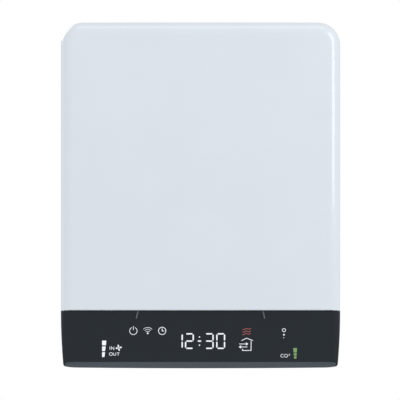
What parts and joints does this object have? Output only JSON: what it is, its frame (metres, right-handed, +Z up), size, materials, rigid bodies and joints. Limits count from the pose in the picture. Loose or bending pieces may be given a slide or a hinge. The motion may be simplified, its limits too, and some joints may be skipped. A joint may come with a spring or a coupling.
{
  "type": "through-the-wall heat recovery unit",
  "caption": "Wall-mounted heat recovery ventilator: white domed cover over a dark glass-like display band, with a round wall tube holding the exchanger and fans.",
  "frame": {"origin": "where the wall tube's axis meets the wall face, on the back of the wall plate", "axes": "+X to the right seen from the room, +Y along the tube towards the outdoors, +Z up; the room and the display are at negative Y"},
  "size_m": [0.246, 0.534, 0.3045],
  "materials": {
    "cover_white": "gloss",
    "housing_white": "fine satin",
    "grille_grey": "satin",
    "fascia_black": "high gloss",
    "trim_slate": "satin",
    "rib_grey": "satin",
    "plate_grey": "moulded",
    "duct_grey": "moulded",
    "tube_white": "extruded",
    "exchanger_sheet": "thin sheet",
    "exchanger_shell": "moulded",
    "seal_foam": "foam",
    "fan_black": "glass-filled",
    "fan_grey": "glass-filled",
    "motor_steel": "plated",
    "bright_steel": "ground",
    "screw_steel": "zinc",
    "magnet_nickel": "nickel",
    "heater_metal": "fins",
    "heater_frame": "heat-proof",
    "head_grey": "weathered satin",
    "filter_paper": "pleated fleece",
    "filter_frame": "satin",
    "fresh_foam": "open foam",
    "board_green": "solder mask",
    "part_black": "moulded",
    "relay_blue": "moulded",
    "can_blue": "sleeved",
    "terminal_green": "moulded",
    "socket_white": "moulded",
    "fuse_glass": "glass",
    "ribbon_grey": "flat cable",
    "shield_tin": "tinned",
    "guide_white": "diffusing",
    "vane_grey": "moulded",
    "grommet_rubber": "matt"
  },
  "bodies": {
    "unit": {"wall_plate": "plate_grey", "chassis_posts": "plate_grey", "cable_grommet": "grommet_rubber", "rear_housing": "housing_white", "supply_grille": "grille_grey", "intake_grille": "grille_grey", "front_chassis": "plate_grey", "catch_discs": "bright_steel", "chassis_screws": "screw_steel", "display_fascia": "fascia_black", "cover_guides": "rib_grey", "fascia_trim": "trim_slate", "display_board": "board_green", "digit_module": "part_black", "icon_light_guides": "guide_white", "touch_springs": "bright_steel", "display_ribbon": "ribbon_grey", "air_duct": "duct_grey", "heater_frame": "heater_frame", "heater_bars": "heater_metal", "intake_plenum": "duct_grey", "supply_actuator": "part_black", "extract_actuator": "part_black", "wall_tube": "tube_white", "tube_adapter": "plate_grey", "flange_screws": "screw_steel", "supply_fan_frame": "fan_grey", "supply_stator": "motor_steel", "fan_bearings": "bright_steel", "extract_fan_frame": "fan_grey", "extract_stator": "motor_steel", "exchanger_shell": "exchanger_shell", "exchanger_seals": "seal_foam", "exchanger_sheets": "exchanger_sheet", "exchanger_end_plates": "exchanger_shell", "outdoor_head": "head_grey", "exhaust_grille": "head_grey", "fresh_air_filter": "fresh_foam", "control_board": "board_green", "board_screws": "screw_steel", "power_module": "part_black", "relays": "relay_blue", "capacitors": "can_blue", "terminal_block": "terminal_green", "radio_module": "shield_tin", "plug_sockets": "socket_white", "buzzer": "part_black", "fuse": "fuse_glass", "co2_sensor": "shield_tin", "humidity_sensor": "socket_white"},
    "cover": {"front_cover": "cover_white", "cover_magnets": "magnet_nickel"},
    "filter": {"filter_cassette": "filter_frame", "filter_mat": "filter_paper"},
    "supply_rotor": {"supply_impeller": "fan_black", "supply_shaft": "bright_steel"},
    "extract_rotor": {"extract_impeller": "fan_black", "extract_shaft": "bright_steel"},
    "supply_flap": {"supply_vane": "vane_grey"},
    "extract_flap": {"extract_vane": "vane_grey"}
  },
  "joints": [
    {"name": "cover_pull", "type": "slide", "parent": "unit", "child": "cover", "axis": [0, -1, 0], "range_m": [0, 0.06]},
    {"name": "filter_pull", "type": "slide", "parent": "unit", "child": "filter", "axis": [1, 0, 0], "range_m": [0, 0.19]},
    {"name": "supply_fan_spin", "type": "hinge", "parent": "unit", "child": "supply_rotor", "pos_m": [0, 0.02, 0], "axis": [0, 1, 0], "continuous": true},
    {"name": "extract_fan_spin", "type": "hinge", "parent": "unit", "child": "extract_rotor", "pos_m": [0, 0.336, 0], "axis": [0, 1, 0], "continuous": true},
    {"name": "supply_flap_turn", "type": "hinge", "parent": "unit", "child": "supply_flap", "pos_m": [0, -0.0305, 0.098], "axis": [1, 0, 0], "range_deg": [0, 86]},
    {"name": "extract_flap_turn", "type": "hinge", "parent": "unit", "child": "extract_flap", "pos_m": [0, -0.026, -0.143], "axis": [1, 0, 0], "range_deg": [0, 86]}
  ]
}
